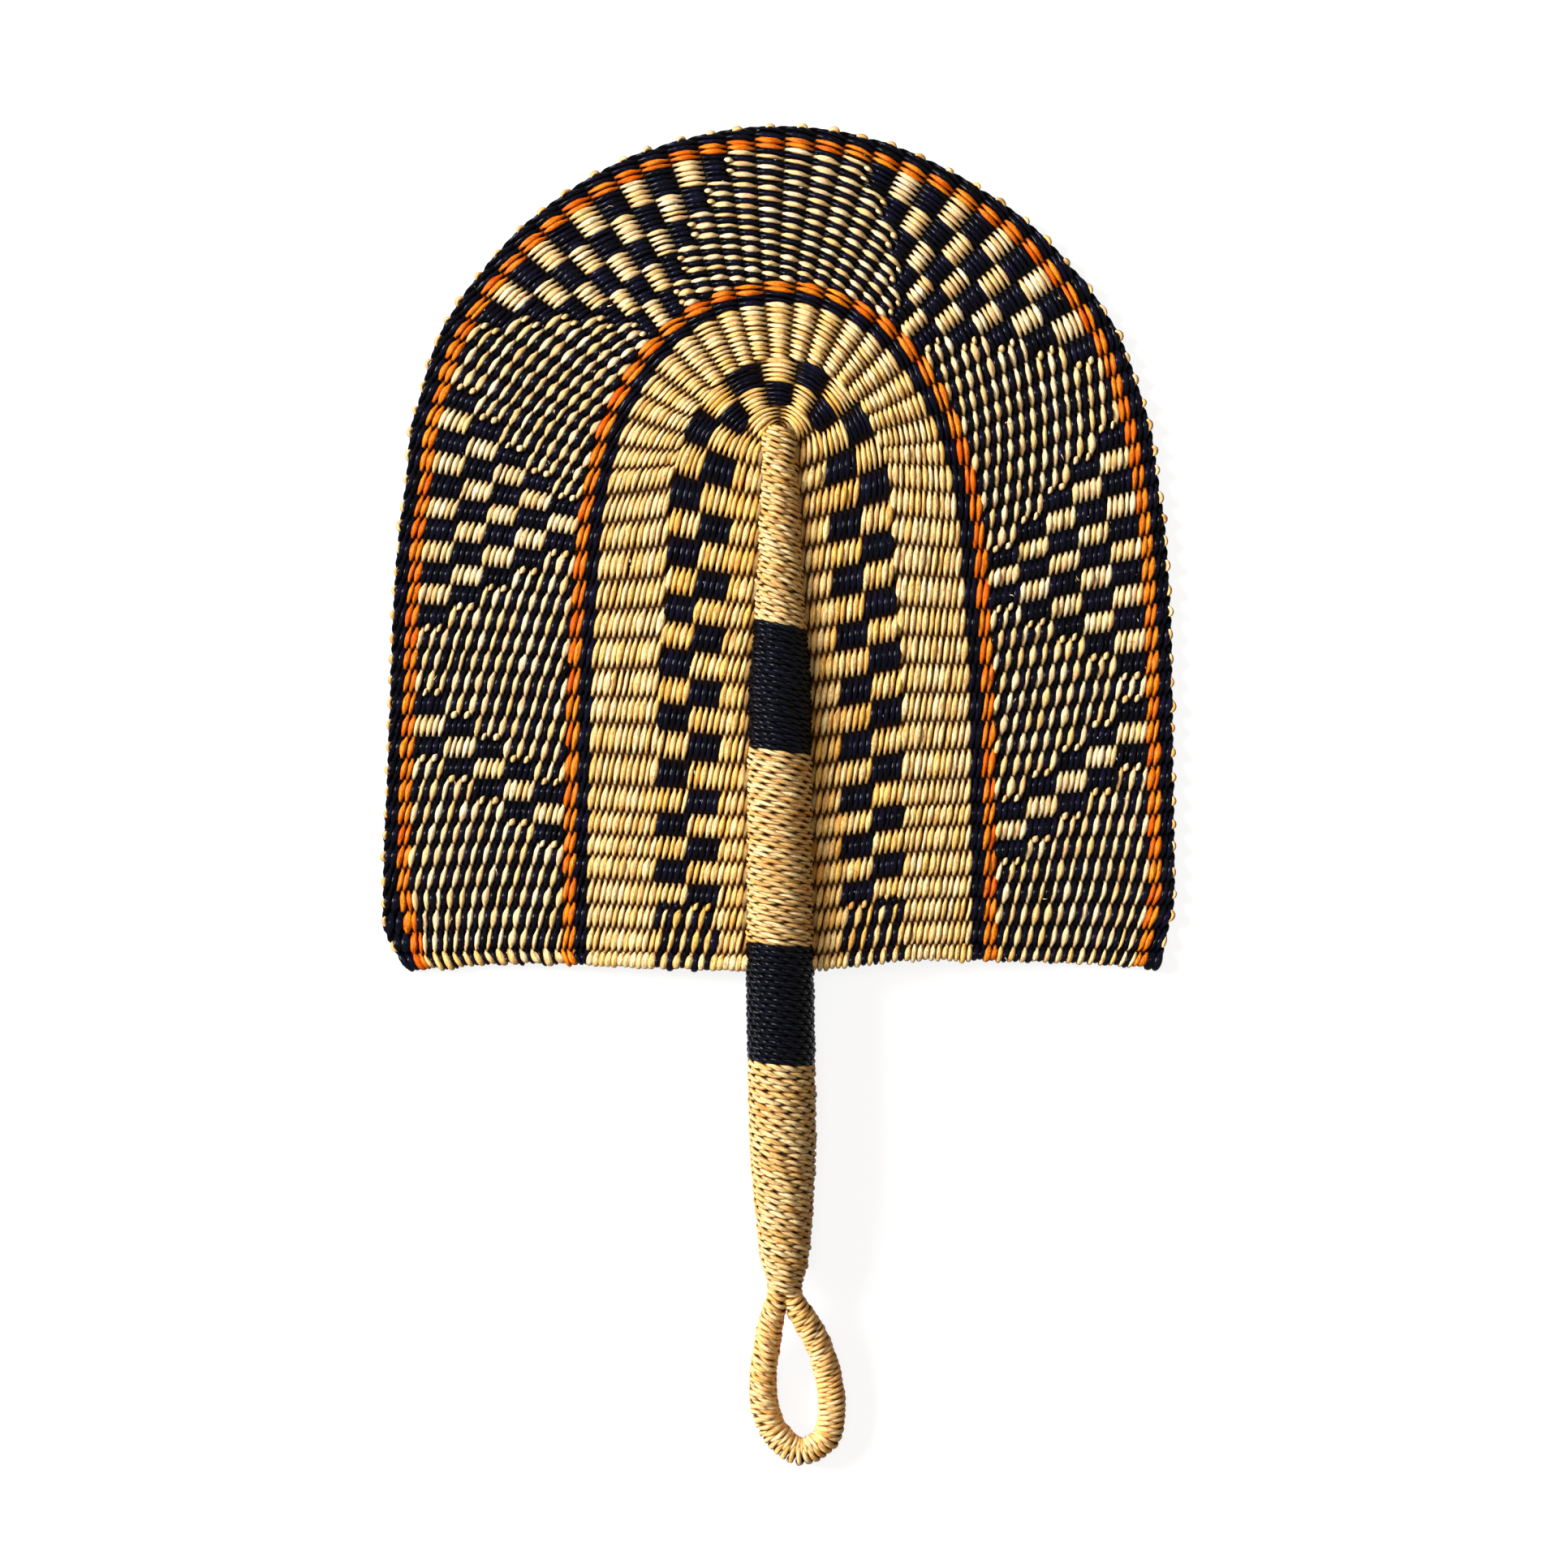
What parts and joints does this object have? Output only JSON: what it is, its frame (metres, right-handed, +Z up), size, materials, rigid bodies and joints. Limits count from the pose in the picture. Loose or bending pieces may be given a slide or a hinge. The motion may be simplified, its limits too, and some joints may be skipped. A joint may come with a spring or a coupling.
{
  "type": "woven hand fan",
  "caption": "Arched twined straw hand fan with a wound handle down its middle and a hanging loop at the handle's end.",
  "frame": {"origin": "middle of the fan's length and width, on the surface that it lies on", "axes": "+X across the blade, +Y from the handle to the blade's crown, +Z up out of the face shown"},
  "size_m": [0.255, 0.4302, 0.0224],
  "materials": {
    "natural_straw": "pale gold straw, half gloss",
    "navy_straw": "straw dyed navy black, glossy",
    "orange_straw": "straw dyed orange, half gloss",
    "mixed_straw": "natural and navy straw in a chequered weave",
    "natural_cord": "two-ply twisted straw cord, natural",
    "navy_cord": "two-ply twisted straw cord, navy black",
    "stem_bundle": "bundled grass stems, matte"
  },
  "bodies": {
    "root": {"inner_panel_near": "natural_straw", "inner_panel_far": "natural_straw", "inner_navy_rows": "navy_straw", "inner_orange_rows": "orange_straw", "pattern_band": "mixed_straw", "outer_orange_rows": "orange_straw", "rim_navy_rows": "navy_straw", "hem_left": "mixed_straw", "hem_right": "mixed_straw", "handle_core": "stem_bundle", "tip_winding": "natural_cord", "upper_navy_winding": "navy_cord", "middle_winding": "natural_cord", "lower_navy_winding": "navy_cord", "grip_winding": "natural_cord", "wrist_binding": "natural_cord", "loop_core": "stem_bundle", "loop_winding": "natural_cord"}
  },
  "joints": []
}
